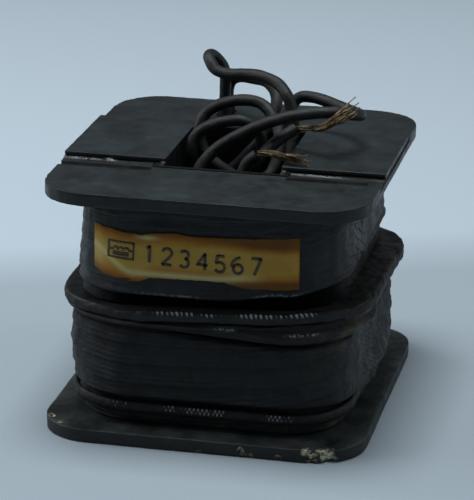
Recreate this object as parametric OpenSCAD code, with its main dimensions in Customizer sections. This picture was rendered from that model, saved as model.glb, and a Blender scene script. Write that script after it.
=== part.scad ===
// Two-section ignition coil winding: three fibre boards on a rectangular core tube, two taped copper
// windings between them, and two flexible leads tucked into the core window. Millimetres, +Z up.
// The origin is the centre of the bottom board's lower face, and the label faces -Y.

/* [Boards] */
// Width of the top and bottom boards, left to right
board_w = 72; // [71:0.5:74]
// Depth of the top and bottom boards, front to back
board_d = 82; // [81:0.5:84]
// Thickness of the top and bottom boards
board_t = 3.2; // [2.8:0.1:3.6]
// Corner radius of the top and bottom boards
board_r = 11.5; // [9:0.5:13]
// Height from the bottom face to the top board's upper face
stack_h = 57; // [56:0.5:60]

/* [Middle board] */
// Width over the middle board's binding
middle_w = 70.6; // [69:0.2:70.8]
// Depth over the middle board's binding
middle_d = 76; // [75:0.5:77]
// Thickness of the middle board
middle_t = 2.6; // [2.2:0.1:3]
// Corner radius over the binding
middle_r = 23; // [18:1:24]
// Height of the middle board's centre
middle_z = 29.9; // [29.5:0.1:30.3]
// Sideways shift of the middle board
middle_shift = 0.6; // [0:0.1:0.6]
// Rise of the middle board towards the right, in degrees
middle_rise = 1; // [0:0.1:1.5]
// Thickness of the woven binding round its edge
binding_t = 0.5; // [0.4:0.1:0.7]

/* [Core window] */
// Clear width of the window between the side liners
window_w = 26; // [25.5:0.1:26.5]
// Clear depth of the window
window_d = 33; // [32.5:0.1:33.5]
// Thickness of the folded side liners
liner_t = 1; // [0.8:0.1:1.2]
// How far forward of the middle the folded part of each liner reaches
fold_front = 14.3; // [13.8:0.1:14.8]
// Wall thickness of the core tube
tube_wall = 1.2; // [1:0.1:1.5]

/* [Windings] */
// Width of the upper section over its tape
upper_w = 60; // [58:0.5:62]
// Depth of the upper section over its tape
upper_d = 70; // [68:0.5:72]
// Corner radius of the upper section
upper_r = 14; // [12:0.5:15]
// Width of the lower section over its tape
lower_w = 64; // [62:0.5:65]
// Depth of the lower section over its tape
lower_d = 72; // [70:0.5:73]
// Corner radius of the lower section
lower_r = 15; // [13:0.5:16]
// Thickness of the outer tape
tape_t = 0.8; // [0.6:0.1:1]
// Thickness of the paper under the tape
paper_t = 0.4; // [0.3:0.1:0.5]
// Thickness of the insulation on the core tube
inner_wrap_t = 0.8; // [0.6:0.1:1]
// Width of the tape's collar under the middle board
collar_w = 69; // [66:0.5:69.5]
// Depth of the tape's collar under the middle board
collar_d = 74.5; // [73:0.5:75]
// Corner radius of the collar
collar_r = 21; // [18:1:23]
// Height of the collar's lower edge
collar_z = 25.4; // [25:0.1:26]
// How far the foot of the lower section is drawn in
foot_inset = 2; // [1.5:0.1:2.5]
// Height of the foot above the bottom board
foot_h = 6; // [5:0.1:6.5]
// Diameter of the woven binding cord round the foot
cord_d = 2.8; // [2:0.1:3]

/* [Label] */
// Left end of the label
label_left = -24; // [-25:0.5:-20]
// Right end of the label
label_right = 21; // [16:0.5:22]
// Height of the label's lower edge
label_bottom = 37.2; // [37:0.1:38]
// Height of the label's upper edge
label_top = 48.2; // [47:0.1:49]
// Thickness of the label
label_t = 0.2; // [0.2:0.05:0.3]

/* [Leads] */
// Outside diameter of each lead
lead_d = 2.6; // [2.4:0.1:2.6]
// Outside diameter of each lead sleeve
sleeve_d = 3.2; // [3.1:0.05:3.3]
// Height that the sleeves stand out of the top board
sleeve_up = 1.6; // [1:0.1:2]
// Diameter of each bundle of bare strands
strands_d = 1.8; // [1.2:0.1:1.8]

/* [Hidden] */

round_fn = 96;
wire_fn = 32;
fit_gap = 0.3;          // room left at the tilted middle board
far = 200;              // larger than the whole coil
past = 1;               // how far a cutting shape reaches past the surface it cuts

tube_in_w = window_w + 2 * liner_t;
tube_in_d = window_d;
tube_w = tube_in_w + 2 * tube_wall;
tube_d = tube_in_d + 2 * tube_wall;
wrap_w = tube_w + 2 * inner_wrap_t;
wrap_d = tube_d + 2 * inner_wrap_t;
sharp_r = 1;            // corner radius of the tube and its wraps
square_r = 0.01;        // as good as square

top_under = stack_h - board_t;

// Grooves across the top board, in front of and behind the folded liners
front_groove_y = -18.2;
front_groove_w = 2.2;
rear_groove_w = 1.8;
groove_depth = 0.8;
groove_end_gap = 3;     // how far short of the right edge the grooves stop

// Slot in the top board for the two sleeves, and the pocket below it for the splices
lead_x = -9;
lead_1_y = 28;
lead_2_y = 31.5;
slot_w = 3.6;
sleeve_bore = 2.7;
sleeve_in = 6.5;        // how far the sleeves reach below the top board's upper face
sleeve_bottom = stack_h - sleeve_in;
splice_d = 3.2;
splice_len = 11;
pocket_wall = 1;
pocket_gap = 0.2;
pocket_x = lead_x - splice_len - pocket_wall;
pocket_w = splice_len + slot_w;
pocket_y = lead_1_y - slot_w / 2 - pocket_gap;
pocket_d = lead_2_y - lead_1_y + slot_w + 2 * pocket_gap;
pocket_z = sleeve_bottom - splice_d - pocket_wall;

// Crossover between the two windings, through the middle board near its rear edge
crossover_x = 10;
crossover_y = 27;
crossover_d = 1.2;
crossover_z = 20;
crossover_h = 17;
crossover_clear = 0.3;

// The binding cord lies a little above the middle of the foot
cord_share = 0.6;
cord_z = board_t + cord_share * foot_h;

// Route of each lead: height is counted from the top board's upper face. Each starts inside its sleeve.
lead_1_route = [
    [-9, 28, -6.5], [-9, 28, 1.5], [-9, 28, 5.5], [-9, 28, 9.5], [-10, 27.5, 12.5],
    [-11.5, 26, 14.5], [-12, 24, 15], [-11.5, 22, 14.5], [-9.5, 20.5, 12.5], [-6, 19.5, 12],
    [-1, 18.5, 12.5], [2.5, 17, 12.5], [6, 15.5, 11.5], [8.5, 13.5, 9.5], [10, 12.5, 6],
    [10.5, 11.5, 1.5], [10, 9, -4], [6.5, 7, -7.5], [1, 6.5, -9], [-5, 7.5, -7],
    [-9.5, 9, -3.5], [-11, 9.5, 1], [-9.5, 11, 5], [-6, 12, 7], [-1.5, 12.5, 8],
    [3, 12, 7.5], [6.5, 10, 4.5], [8.5, 6.5, 0], [8, 2.5, -4.5], [6, -2, -6.5],
    [4.5, -5.5, -4.5], [5.5, -6.5, -1], [8, -4.5, 2], [10.5, -2, 4], [13, 0.5, 5.5]];
lead_2_route = [
    [-9, 31.5, -6.5], [-9, 31.5, 1.5], [-9, 31.5, 5], [-8, 31, 7.5], [-5.5, 29, 9],
    [-2, 26.5, 9.5], [2, 23.5, 9.5], [4.5, 21, 7.5], [5, 18, 4.5], [4, 14.5, 0.5],
    [0.5, 13.5, -4], [-4, 12.5, -8.5], [-8.5, 9, -10.5], [-11, 4.5, -7.5], [-11, 2.5, -3],
    [-10.5, 3, 1], [-8, 3.5, 3.5], [-4, 4, 5], [0.5, 4, 5.5], [4, 5, 3],
    [4.5, 5.5, -1], [5, 7.5, -4.5], [5.5, 10.5, -5.5], [6.5, 13.5, -3.5], [7.5, 14.5, 0.5],
    [8.5, 16.5, 5], [10.5, 17.5, 8], [14, 17, 8.5], [18.5, 15, 8], [23, 12, 7.5],
    [26.5, 7, 8], [26, 1.5, 9.5], [21, -2, 10.5], [15.5, -3, 10], [9.5, -4, 8.5],
    [4.5, -5, 6.5], [0, -5.5, 4], [-4, -6, 1], [-7, -8, -3], [-7.5, -10.5, -7.5],
    [-4, -12, -10.5], [0.5, -12, -8.5], [3, -11.5, -4], [4.5, -11, 0], [7, -11, 2.5]];
strands_1_route = [[13, 0.5, 5.5], [16, -1, 6.3], [19.5, -4.5, 7.3], [23.5, -4.5, 9.5], [27, -1, 11]];
strands_2_route = [[7, -11, 2.5], [10, -11.5, 3], [14, -12, 2.3], [19.5, -12, 2.1]];
cord_sides = 8;

// ---- Shared shapes ----

// Rectangle with round corners, centred
module rounded_rect(w, d, r) {
    square([w - 2 * r, d], center = true);
    square([w, d - 2 * r], center = true);
    for (x = [-1, 1], y = [-1, 1])
        translate([x * (w / 2 - r), y * (d / 2 - r)]) circle(r, $fn = round_fn);
}

// Flat plate from height low to height high; its size is [width, depth, corner radius]
module plate(size, low, high) {
    translate([0, 0, low]) linear_extrude(high - low) rounded_rect(size[0], size[1], size[2]);
}

// Upright ring between two rounded rectangles, from height low to height high
module ring(outer, inner, low, high) {
    translate([0, 0, low]) linear_extrude(high - low) difference() {
        rounded_rect(outer[0], outer[1], outer[2]);
        rounded_rect(inner[0], inner[1], inner[2]);
    }
}

// Sizes of a rounded rectangle drawn in by t on every side
function inset(size, t) = [size[0] - 2 * t, size[1] - 2 * t, size[2] - t];

// Places its children in the tilted middle board's own frame
module at_middle() {
    translate([middle_shift, 0, middle_z]) rotate([0, -middle_rise, 0]) children();
}

// Everything under the middle board's upper face, or over its lower face
module below_middle_top() {
    at_middle() translate([-far / 2, -far / 2, middle_t / 2 + fit_gap - far]) cube(far);
}
module above_middle_bottom() {
    at_middle() translate([-far / 2, -far / 2, -middle_t / 2 - fit_gap]) cube(far);
}

// One layer of the upper or lower section, between the middle board and a plain board
module upper_layer(outer, inner) {
    difference() {
        ring(outer, inner, middle_z - middle_t, top_under);
        below_middle_top();
    }
}
module lower_layer(outer, inner) {
    difference() {
        ring(outer, inner, board_t, middle_z + middle_t);
        above_middle_bottom();
    }
}

// Passage for the crossover wire through the windings and the middle board
module crossover_passage() {
    translate([crossover_x, crossover_y, crossover_z - crossover_clear])
        cylinder(d = crossover_d + 2 * crossover_clear, h = crossover_h + 2 * crossover_clear, $fn = wire_fn);
}

// Round cord swept along a path of points, with a ring of corners across every point
function unit(v) = v / norm(v);
function along(path, i) = unit(path[min(i + 1, len(path) - 1)] - path[max(i - 1, 0)]);
function across(v, direction) = unit(v - direction * (v * direction));
function side_of(path, i) =
    i == 0 ? across([1, 0, 0], along(path, 0)) : across(side_of(path, i - 1), along(path, i));
function cord_ring(path, i, r) =
    let (a = side_of(path, i), b = cross(along(path, i), a))
    [for (k = [0 : cord_sides - 1])
        path[i] + r * (cos(k * 360 / cord_sides) * a + sin(k * 360 / cord_sides) * b)];
module cord(path, d) {
    last = (len(path) - 1) * cord_sides;
    points = [for (i = [0 : len(path) - 1]) each cord_ring(path, i, d / 2)];
    walls = [for (i = [0 : len(path) - 2], k = [0 : cord_sides - 1])
        let (a = i * cord_sides + k, b = i * cord_sides + (k + 1) % cord_sides)
        each [[a, a + cord_sides, b + cord_sides], [a, b + cord_sides, b]]];
    ends = [[for (k = [0 : cord_sides - 1]) k], [for (k = [cord_sides - 1 : -1 : 0]) last + k]];
    polyhedron(points, concat(walls, ends));
}
module lead_route(route, d) {
    translate([0, 0, stack_h]) cord(route, d);
}

// Closed loop of round cord lying round a rounded rectangle of the given size
module cord_loop(size, d, z) {
    r = size[2] + d / 2;
    x = size[0] / 2 - size[2];
    y = size[1] / 2 - size[2];
    translate([0, 0, z]) {
        for (corner = [[x, y, 0], [-x, y, 90], [-x, -y, 180], [x, -y, 270]])
            translate([corner[0], corner[1], 0]) rotate(corner[2])
                rotate_extrude(angle = 90, $fn = round_fn) translate([r, 0]) circle(d = d, $fn = wire_fn);
        for (side = [-1, 1]) {
            translate([side * (x + r), -y, 0]) rotate([-90, 0, 0]) cylinder(d = d, h = 2 * y, $fn = wire_fn);
            translate([-x, side * (y + r), 0]) rotate([0, 90, 0]) cylinder(d = d, h = 2 * x, $fn = wire_fn);
        }
    }
}

// ---- Core and boards ----

module core_tube() {
    color("#2b241e") ring([tube_w, tube_d, sharp_r], [tube_in_w, tube_in_d, square_r], 0, stack_h);
}

// One fibre strip: down one side of the window, and folded out over the top board to its edge
module side_liner(side) {
    color("#3a4040") mirror([side < 0 ? 1 : 0, 0, 0]) {
        translate([window_w / 2, -window_d / 2, 0]) cube([liner_t, window_d, stack_h]);
        translate([window_w / 2, -fold_front, stack_h])
            cube([board_w / 2 - window_w / 2, fold_front + window_d / 2, liner_t]);
    }
}
module side_liner_left() {
    side_liner(-1);
}
module side_liner_right() {
    side_liner(1);
}

module board(size, low) {
    ring(size, [tube_w, tube_d, sharp_r], low, low + board_t);
}
module bottom_flange() {
    color("#232a2b") board([board_w, board_d, board_r], 0);
}
module middle_flange() {
    hole = [tube_w + 2 * fit_gap, tube_d + 2 * fit_gap, sharp_r];
    color("#2c302a") difference() {
        at_middle() difference() {
            plate(inset([middle_w, middle_d, middle_r], binding_t), -middle_t / 2, middle_t / 2);
            translate([-middle_shift, 0, 0]) plate(hole, -middle_t, middle_t);
        }
        crossover_passage();
    }
}
module middle_edge_binding() {
    outer = [middle_w, middle_d, middle_r];
    color("#30352f") at_middle() ring(outer, inset(outer, binding_t), -middle_t / 2, middle_t / 2);
}
// One groove on each side of the window: the left one runs out of the board, the right one stops short
module grooves(y, w) {
    translate([-board_w, y, stack_h - groove_depth]) cube([board_w - tube_w / 2, w, board_t]);
    translate([tube_w / 2, y, stack_h - groove_depth])
        cube([board_w / 2 - groove_end_gap - tube_w / 2, w, board_t]);
}
module top_flange() {
    color("#2f3636") difference() {
        board([board_w, board_d, board_r], top_under);
        grooves(front_groove_y - front_groove_w, front_groove_w);
        grooves(window_d / 2, rear_groove_w);
        lead_slot();
    }
}

// Oblong slot that both sleeves come up through
module lead_slot() {
    h = board_t + 2 * past;
    translate([lead_x, 0, top_under - past]) {
        for (y = [lead_1_y, lead_2_y])
            translate([0, y, 0]) cylinder(d = slot_w, h = h, $fn = wire_fn);
        translate([-slot_w / 2, lead_1_y, 0]) cube([slot_w, lead_2_y - lead_1_y, h]);
    }
}

// ---- Windings ----

lower_out = [lower_w, lower_d, lower_r];
lower_foot = inset(lower_out, foot_inset);
lower_paper = inset(lower_foot, tape_t);
lower_wire = inset(lower_paper, paper_t);
upper_out = [upper_w, upper_d, upper_r];
upper_paper = inset(upper_out, tape_t);
upper_wire = inset(upper_paper, paper_t);
tube_out = [tube_w, tube_d, sharp_r];
wrap_out = [wrap_w, wrap_d, sharp_r];

module lower_inner_wrap() {
    color("#9a7b4a") lower_layer(wrap_out, tube_out);
}
module lower_winding() {
    color("#a5612f") difference() {
        lower_layer(lower_wire, wrap_out);
        crossover_passage();
    }
}
module lower_outer_wrap() {
    color("#b08d57") lower_layer(lower_paper, lower_wire);
}

// The tape builds up from a narrow foot to a belly, and to a collar under the middle board
module lower_tape() {
    color("#1d2122") difference() {
        union() {
            ring(lower_foot, lower_paper, board_t, board_t + foot_h);
            ring(lower_out, lower_paper, board_t + foot_h, collar_z);
            ring([collar_w, collar_d, collar_r], lower_paper, collar_z, middle_z + middle_t);
        }
        above_middle_bottom();
    }
}
module lower_cord() {
    color("#34322c") cord_loop(lower_foot, cord_d, cord_z);
}

module upper_inner_wrap() {
    color("#9a7b4a") upper_layer(wrap_out, tube_out);
}
module upper_winding() {
    color("#a5612f") difference() {
        upper_layer(upper_wire, wrap_out);
        crossover_passage();
        translate([pocket_x, pocket_y, pocket_z]) cube([pocket_w, pocket_d, far]);
    }
}
module upper_outer_wrap() {
    color("#b08d57") upper_layer(upper_paper, upper_wire);
}
module upper_tape() {
    color("#1d2122") upper_layer(upper_out, upper_paper);
}
module label() {
    color("#a87a2e") intersection() {
        ring(inset(upper_out, -label_t), upper_out, label_bottom, label_top);
        translate([label_left, -upper_d, 0]) cube([label_right - label_left, upper_d, far]);
    }
}

// ---- Wires and leads ----

module crossover_lead() {
    color("#8c4f25") translate([crossover_x, crossover_y, crossover_z])
        cylinder(d = crossover_d, h = crossover_h, $fn = wire_fn);
}

module splice(y) {
    color("#7a6a4a") translate([lead_x + slot_w / 2 - pocket_wall, y, sleeve_bottom - splice_d / 2])
        rotate([0, -90, 0]) cylinder(d = splice_d, h = splice_len, $fn = wire_fn);
}
module splice_1() {
    splice(lead_1_y);
}
module splice_2() {
    splice(lead_2_y);
}

module lead_sleeve(y) {
    color("#4a4534") translate([lead_x, y, sleeve_bottom]) difference() {
        cylinder(d = sleeve_d, h = stack_h + sleeve_up - sleeve_bottom, $fn = wire_fn);
        translate([0, 0, -past]) cylinder(d = sleeve_bore, h = far, $fn = wire_fn);
    }
}
module lead_sleeve_1() {
    lead_sleeve(lead_1_y);
}
module lead_sleeve_2() {
    lead_sleeve(lead_2_y);
}

module lead_1() {
    color("#22282a") lead_route(lead_1_route, lead_d);
}
module lead_2() {
    color("#22282a") lead_route(lead_2_route, lead_d);
}
module lead_1_strands() {
    color("#a8763a") lead_route(strands_1_route, strands_d);
}
module lead_2_strands() {
    color("#a8763a") lead_route(strands_2_route, strands_d);
}

core_tube();
side_liner_left();
side_liner_right();
bottom_flange();
middle_flange();
top_flange();
middle_edge_binding();
lower_inner_wrap();
lower_winding();
lower_outer_wrap();
lower_tape();
lower_cord();
upper_inner_wrap();
upper_winding();
upper_outer_wrap();
upper_tape();
label();
crossover_lead();
splice_1();
splice_2();
lead_sleeve_1();
lead_sleeve_2();
lead_1();
lead_2();
lead_1_strands();
lead_2_strands();
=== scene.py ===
import math
import random

import bmesh
import bpy
import numpy as np
from mathutils import Matrix, Vector, noise


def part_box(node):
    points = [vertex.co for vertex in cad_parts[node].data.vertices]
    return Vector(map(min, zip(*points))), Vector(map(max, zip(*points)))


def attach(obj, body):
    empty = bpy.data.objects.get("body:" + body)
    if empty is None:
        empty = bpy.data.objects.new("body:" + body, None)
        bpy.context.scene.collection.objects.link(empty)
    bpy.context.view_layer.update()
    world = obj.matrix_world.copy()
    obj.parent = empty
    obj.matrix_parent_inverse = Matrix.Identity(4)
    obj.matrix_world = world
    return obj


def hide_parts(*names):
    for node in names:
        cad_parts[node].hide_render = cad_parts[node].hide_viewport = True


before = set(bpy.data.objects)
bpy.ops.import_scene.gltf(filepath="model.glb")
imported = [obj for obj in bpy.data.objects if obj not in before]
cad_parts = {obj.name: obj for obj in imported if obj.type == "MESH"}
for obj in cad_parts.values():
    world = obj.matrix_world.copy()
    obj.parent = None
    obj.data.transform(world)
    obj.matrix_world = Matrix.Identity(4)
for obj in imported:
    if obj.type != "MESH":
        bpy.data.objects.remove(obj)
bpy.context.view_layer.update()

MM = 0.001


def box(node):
    """Lowest and highest corner of a CAD node's box, in millimetres."""
    return [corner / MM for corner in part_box(node)]


def box_size(node):
    low, high = box(node)
    return high - low


# Heights and sizes that the CAD model gives
TOP_UNDER, TOP_FACE = (corner.z for corner in box("top_flange"))
BOARD_T = box("bottom_flange")[1].z
MIDDLE_LOW, MIDDLE_HIGH = box("middle_flange")
BINDING_LOW, BINDING_HIGH = box("middle_edge_binding")
MIDDLE_SIZE = BINDING_HIGH - BINDING_LOW
UPPER_SIZE = box_size("upper_tape")
LOWER_FOOT = box_size("lower_outer_wrap")
COLLAR_SIZE = box_size("lower_tape")
WINDOW_HALF_W = -box("side_liner_left")[1].x
BAND_TOP = box("side_liner_left")[1].z

# Corner radii and layer sizes of the windings, which the boxes don't give
UPPER_R = 14
BELLY_R = 15
FOOT_R = 13
COLLAR_R = 21
MIDDLE_R = 23
TAPE_T = 0.8
EDGE_GAP = 0.05         # between a tape's edge and the board it meets
BELLY_SIZE = (64, 72)
FOOT_TOP = BOARD_T + 6
COLLAR_TOP = MIDDLE_LOW.z - 0.1

LEAD_D = 2.6

MIDDLE_TILT = math.tan(math.radians(1))     # the middle board rises towards the right
CURVE_STEPS = 9                             # points on a lead's line for each point of its route


# ---- Camera, floor and light ----

def add_camera():
    """The photograph's view: a long lens, from a little to the right of the front and above it."""
    azimuth, elevation, roll = (math.radians(a) for a in (12.0, 18.4, 0.73))
    target = Vector((-0.85, 5.18, 31.47)) * MM
    distance = 623.8 * MM
    back = Vector((math.sin(azimuth) * math.cos(elevation),
                   -math.cos(azimuth) * math.cos(elevation),
                   math.sin(elevation)))
    level = Vector((math.cos(azimuth), math.sin(azimuth), 0))
    upright = back.cross(level)
    right = level * math.cos(roll) + upright * math.sin(roll)
    up = upright * math.cos(roll) - level * math.sin(roll)
    data = bpy.data.cameras.new("camera")
    data.sensor_width = 36
    data.lens = 196.4
    data.clip_start = 0.01
    camera = bpy.data.objects.new("camera", data)
    bpy.context.scene.collection.objects.link(camera)
    turn = Matrix((right, up, back)).transposed().to_4x4()
    camera.matrix_world = Matrix.Translation(target + back * distance) @ turn
    bpy.context.scene.camera = camera


def add_area_light(name, place, size, power, colour=(1, 1, 1), aim=(0, 0, 40)):
    """A soft rectangular light at a place in millimetres, turned towards the coil."""
    data = bpy.data.lights.new(name, "AREA")
    data.shape = "RECTANGLE"
    data.size = size[0] * MM
    data.size_y = size[1] * MM
    data.energy = power
    data.color = colour
    lamp = bpy.data.objects.new(name, data)
    lamp.location = Vector(place) * MM
    lamp.rotation_euler = (Vector(aim) - Vector(place)).to_track_quat("-Z", "Y").to_euler()
    bpy.context.scene.collection.objects.link(lamp)


def add_lights():
    world = bpy.data.worlds.new("studio")
    bpy.context.scene.world = world
    world.use_nodes = True
    sky = world.node_tree.nodes["Background"]
    sky.inputs["Color"].default_value = (0.80, 0.90, 1.0, 1)
    sky.inputs["Strength"].default_value = 0.15
    add_area_light("overhead", (-30, 0, 660), (250, 230), 3.1, (0.95, 0.98, 1.0))
    add_area_light("left_window", (-560, 10, 340), (360, 320), 1.5, (0.93, 0.97, 1.0))
    add_area_light("right_window", (540, 120, 330), (300, 300), 0.6, (0.95, 0.98, 1.0))
    bpy.context.scene.view_settings.view_transform = "Standard"


# ---- Materials ----

class Recipe:
    """A node material around one Principled shader, written as short calls. Sizes are in millimetres."""

    def __init__(self, name):
        self.material = bpy.data.materials.new(name)
        self.material.use_nodes = True
        self.nodes = self.material.node_tree.nodes
        self.links = self.material.node_tree.links
        self.shader = self.nodes["Principled BSDF"]

    def feed(self, socket, value):
        if isinstance(value, bpy.types.NodeSocket):
            self.links.new(value, socket)
        elif isinstance(value, tuple) and len(value) == 3 and socket.type == "RGBA":
            socket.default_value = (*value, 1)
        else:
            socket.default_value = value

    def add(self, kind, output=0, settings=None, **inputs):
        node = self.nodes.new(kind)
        for name, value in (settings or {}).items():
            setattr(node, name, value)
        for name, value in inputs.items():
            key = int(name[1:]) if name[1:].isdigit() else name.replace("_", " ")
            self.feed(node.inputs[key], value)
        return node.outputs[output]

    def place(self, unwrapped=False, stretch=(1, 1, 1), turn=0.0):
        """Position on the piece, in millimetres: in space, or along and across its unwrapped surface."""
        where = self.add("ShaderNodeTexCoord", output=2 if unwrapped else 3)
        scale = 1 if unwrapped else 1 / MM
        return self.add("ShaderNodeMapping", Vector=where,
                        Rotation=(0, 0, math.radians(turn)),
                        Scale=tuple(scale / s for s in stretch))

    def noise(self, size, detail=4.0, where=None, roughness=0.55, distortion=0.0):
        return self.add("ShaderNodeTexNoise", Vector=where or self.place(), Scale=1 / size,
                        Detail=detail, Roughness=roughness, Distortion=distortion)

    def ramp(self, value, *stops):
        """Maps a value through stops of (position, colour or grey)."""
        node = self.nodes.new("ShaderNodeValToRGB")
        elements = node.color_ramp.elements
        while len(elements) < len(stops):
            elements.new(0.5)
        for element, (position, colour) in zip(elements, stops):
            element.position = position
            element.color = (*colour, 1) if isinstance(colour, tuple) else (colour, colour, colour, 1)
        self.feed(node.inputs[0], value)
        return node.outputs[0]

    def math(self, operation, first, second=0.0):
        return self.add("ShaderNodeMath", settings={"operation": operation}, _0=first, _1=second)

    def times(self, first, second):
        return self.math("MULTIPLY", first, second)

    def plus(self, first, second):
        return self.math("ADD", first, second)

    def mix(self, amount, first, second):
        return self.add("ShaderNodeMix", output=2, settings={"data_type": "RGBA"},
                        _0=amount, _6=first, _7=second)

    def stored(self, name):
        """A value that was stored at the mesh's points."""
        return self.add("ShaderNodeAttribute", output=2, settings={"attribute_name": name})

    def upward(self):
        """How far the surface faces up, from -1 to 1."""
        normal = self.add("ShaderNodeNewGeometry", output=1)
        return self.add("ShaderNodeSeparateXYZ", output=2, _0=normal)

    def bump(self, height, depth, under=None):
        node = self.nodes.new("ShaderNodeBump")
        node.inputs["Distance"].default_value = depth * MM
        self.feed(node.inputs["Height"], height)
        if under is not None:
            self.feed(node.inputs["Normal"], under)
        return node.outputs[0]

    def weave(self, pitch, where):
        """Height of a diagonal weave whose threads are a pitch apart."""
        waves = []
        for turn in (45, -45):
            turned = self.add("ShaderNodeMapping", Vector=where, Rotation=(0, 0, math.radians(turn)),
                              Scale=(1 / pitch, 1 / pitch, 1))
            across = self.add("ShaderNodeSeparateXYZ", _0=turned)
            waves.append(self.math("SINE", self.times(across, 2 * math.pi)))
        return self.math("ABSOLUTE", self.times(waves[0], waves[1]))

    def finish(self, **inputs):
        for name, value in inputs.items():
            self.feed(self.shader.inputs[name.replace("_", " ")], value)
        return self.material


def tint(colour, factor):
    return tuple(c * factor for c in colour)


def board_material(name, dark, pale, chip_colour, gloss):
    """Black varnished fibre: uneven gloss, dust and rubbed patches on top, bare fibre in the chips."""
    r = Recipe(name)
    patches = r.ramp(r.noise(9, 5), (0.35, 0.0), (0.68, 1.0))
    dust = r.times(r.ramp(r.upward(), (0.2, 0.15), (0.95, 1.0)), patches)
    base = r.mix(dust, dark, pale)
    scuffs = r.times(dust, r.ramp(r.noise(2.4, 6), (0.5, 0.0), (0.72, 0.6)))
    base = r.mix(scuffs, base, tint(pale, 1.7))
    grain = r.ramp(r.noise(0.5, 3), (0.55, 0.0), (0.8, 0.5))
    base = r.mix(r.times(grain, dust), base, tint(pale, 1.6))
    base = r.mix(r.ramp(r.stored("wear_and_highlight"), (0.25, 0.0), (0.9, 0.75)), base, tint(pale, 2.2))
    fibre = r.mix(r.ramp(r.noise(0.7, 3), (0.4, 0.0), (0.6, 1.0)), chip_colour, tint(chip_colour, 0.35))
    base = r.mix(r.stored("chip"), base, fibre)
    rough = r.ramp(r.noise(3.5, 6), (0.3, gloss), (0.75, min(1.0, gloss + 0.28)))
    # Painted shade: the stored mask darkens grooves, recesses and overhung places nearly to black, and makes
    # them rougher.
    base = r.mix(r.stored("painted_shade"), base, tint(dark, 0.25))
    rough = r.math("SUBTRACT", rough, r.times(r.stored("varnish"), 0.25))
    rough = r.plus(rough, r.times(r.stored("painted_shade"), 0.45))
    height = r.plus(r.times(r.noise(0.35, 3), 0.5), r.noise(2.2, 4))
    return r.finish(Base_Color=base, Roughness=rough, Specular_IOR_Level=0.4, Normal=r.bump(height, 0.13))


def tape_material(name, dark, pale, pitch, gloss, stain=None):
    """Varnished cloth tape: a fine diagonal weave, scuffed threads, and patches where varnish has pooled."""
    r = Recipe(name)
    where = r.place(unwrapped=True)
    weave = r.weave(pitch, where)
    streaks = r.noise(1.0, 4, r.place(unwrapped=True, stretch=(16, 1.1, 1)))
    patches = r.ramp(r.noise(7, 5), (0.38, 0.0), (0.66, 1.0))
    base = r.mix(r.times(r.ramp(streaks, (0.4, 0.15), (0.75, 1.0)), patches), dark, pale)
    base = r.mix(r.times(weave, 0.35), base, pale)
    if stain is not None:
        base = r.mix(r.stored("stain"), base, stain)
    base = r.mix(r.ramp(r.stored("wear_and_highlight"), (0.3, 0.0), (1.0, 0.8)), base, tint(pale, 2.0))
    # Painted sheen: lightens the tape strongly where the stored mask marks it.
    base = r.mix(r.stored("rub"), base, tint(pale, 6))
    # Painted shade: darkens the hem's recess and the crease under the collar nearly to black, rougher and
    # with little specular.
    painted_shade = r.stored("painted_shade")
    base = r.mix(painted_shade, base, tint(dark, 0.3))
    # Painted highlights: pale grey lines where the stored glint mask and a broken noise meet.
    glint = r.times(r.stored("glint"), r.ramp(r.noise(0.7, 2), (0.45, 0.0), (0.62, 1.0)))
    base = r.mix(glint, base, (0.30, 0.32, 0.32))
    rough = r.plus(r.ramp(r.noise(4, 5), (0.3, gloss), (0.7, min(1.0, gloss + 0.3))),
                   r.times(painted_shade, 0.4))
    fine = r.bump(weave, 0.08)
    return r.finish(Base_Color=base, Roughness=rough,
                    Specular_IOR_Level=r.ramp(painted_shade, (0.0, 0.35), (1.0, 0.02)),
                    Normal=r.bump(r.plus(streaks, r.noise(1.4, 4)), 0.24, fine))


def cord_material(name, dark, pale, gloss):
    """Varnished cotton: threads that stand proud are painted pale, as painted highlights."""
    r = Recipe(name)
    proud = r.ramp(r.stored("wear_and_highlight"), (0.35, 0.0), (0.95, 1.0))
    fibres = r.noise(0.25, 3)
    base = r.mix(r.times(proud, r.ramp(fibres, (0.35, 0.2), (0.7, 1.0))), dark, pale)
    rough = r.ramp(r.noise(2.5, 4), (0.3, gloss), (0.7, min(1.0, gloss + 0.25)))
    return r.finish(Base_Color=base, Roughness=rough, Specular_IOR_Level=0.3,
                    Normal=r.bump(r.noise(1.3, 4), 0.3, r.bump(fibres, 0.1)))


def lead_material():
    """Black lead insulation: a fine braid under varnish, dull where it has rubbed."""
    r = Recipe("lead_insulation")
    where = r.place(unwrapped=True)
    braid = r.weave(0.62, where)
    rubbed_and_highlit = r.ramp(r.noise(5, 5), (0.42, 0.0), (0.72, 1.0))
    base = r.mix(rubbed_and_highlit, (0.004, 0.005, 0.0055), (0.016, 0.0185, 0.0185))
    base = r.mix(r.times(braid, 0.2), base, (0.022, 0.025, 0.024))
    # Painted shade: the lead darkens nearly to black low in the window, and grows rougher.
    painted_shade = r.stored("painted_shade")
    base = r.mix(painted_shade, base, (0.0015, 0.0015, 0.0015))
    rough = r.plus(r.ramp(r.noise(3, 4), (0.3, 0.26), (0.72, 0.55)), r.times(painted_shade, 0.35))
    height = r.bump(r.noise(1.6, 3), 0.16, r.bump(braid, 0.04))
    return r.finish(Base_Color=base, Roughness=rough, Specular_IOR_Level=0.36, Normal=height)


def strand_material():
    """Tarnished copper strands with brown fibre and a little bright metal."""
    r = Recipe("bare_strands")
    where = r.place(unwrapped=True)
    tarnish = r.noise(1.2, 4)
    base = r.ramp(tarnish, (0.3, (0.05, 0.032, 0.018)), (0.52, (0.13, 0.085, 0.042)),
                  (0.75, (0.42, 0.29, 0.12)))
    rough = r.ramp(r.noise(0.5, 3), (0.3, 0.3), (0.7, 0.6))
    return r.finish(Base_Color=base, Roughness=rough, Metallic=0.45,
                    Normal=r.bump(r.noise(0.2, 2, where), 0.03))


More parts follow.
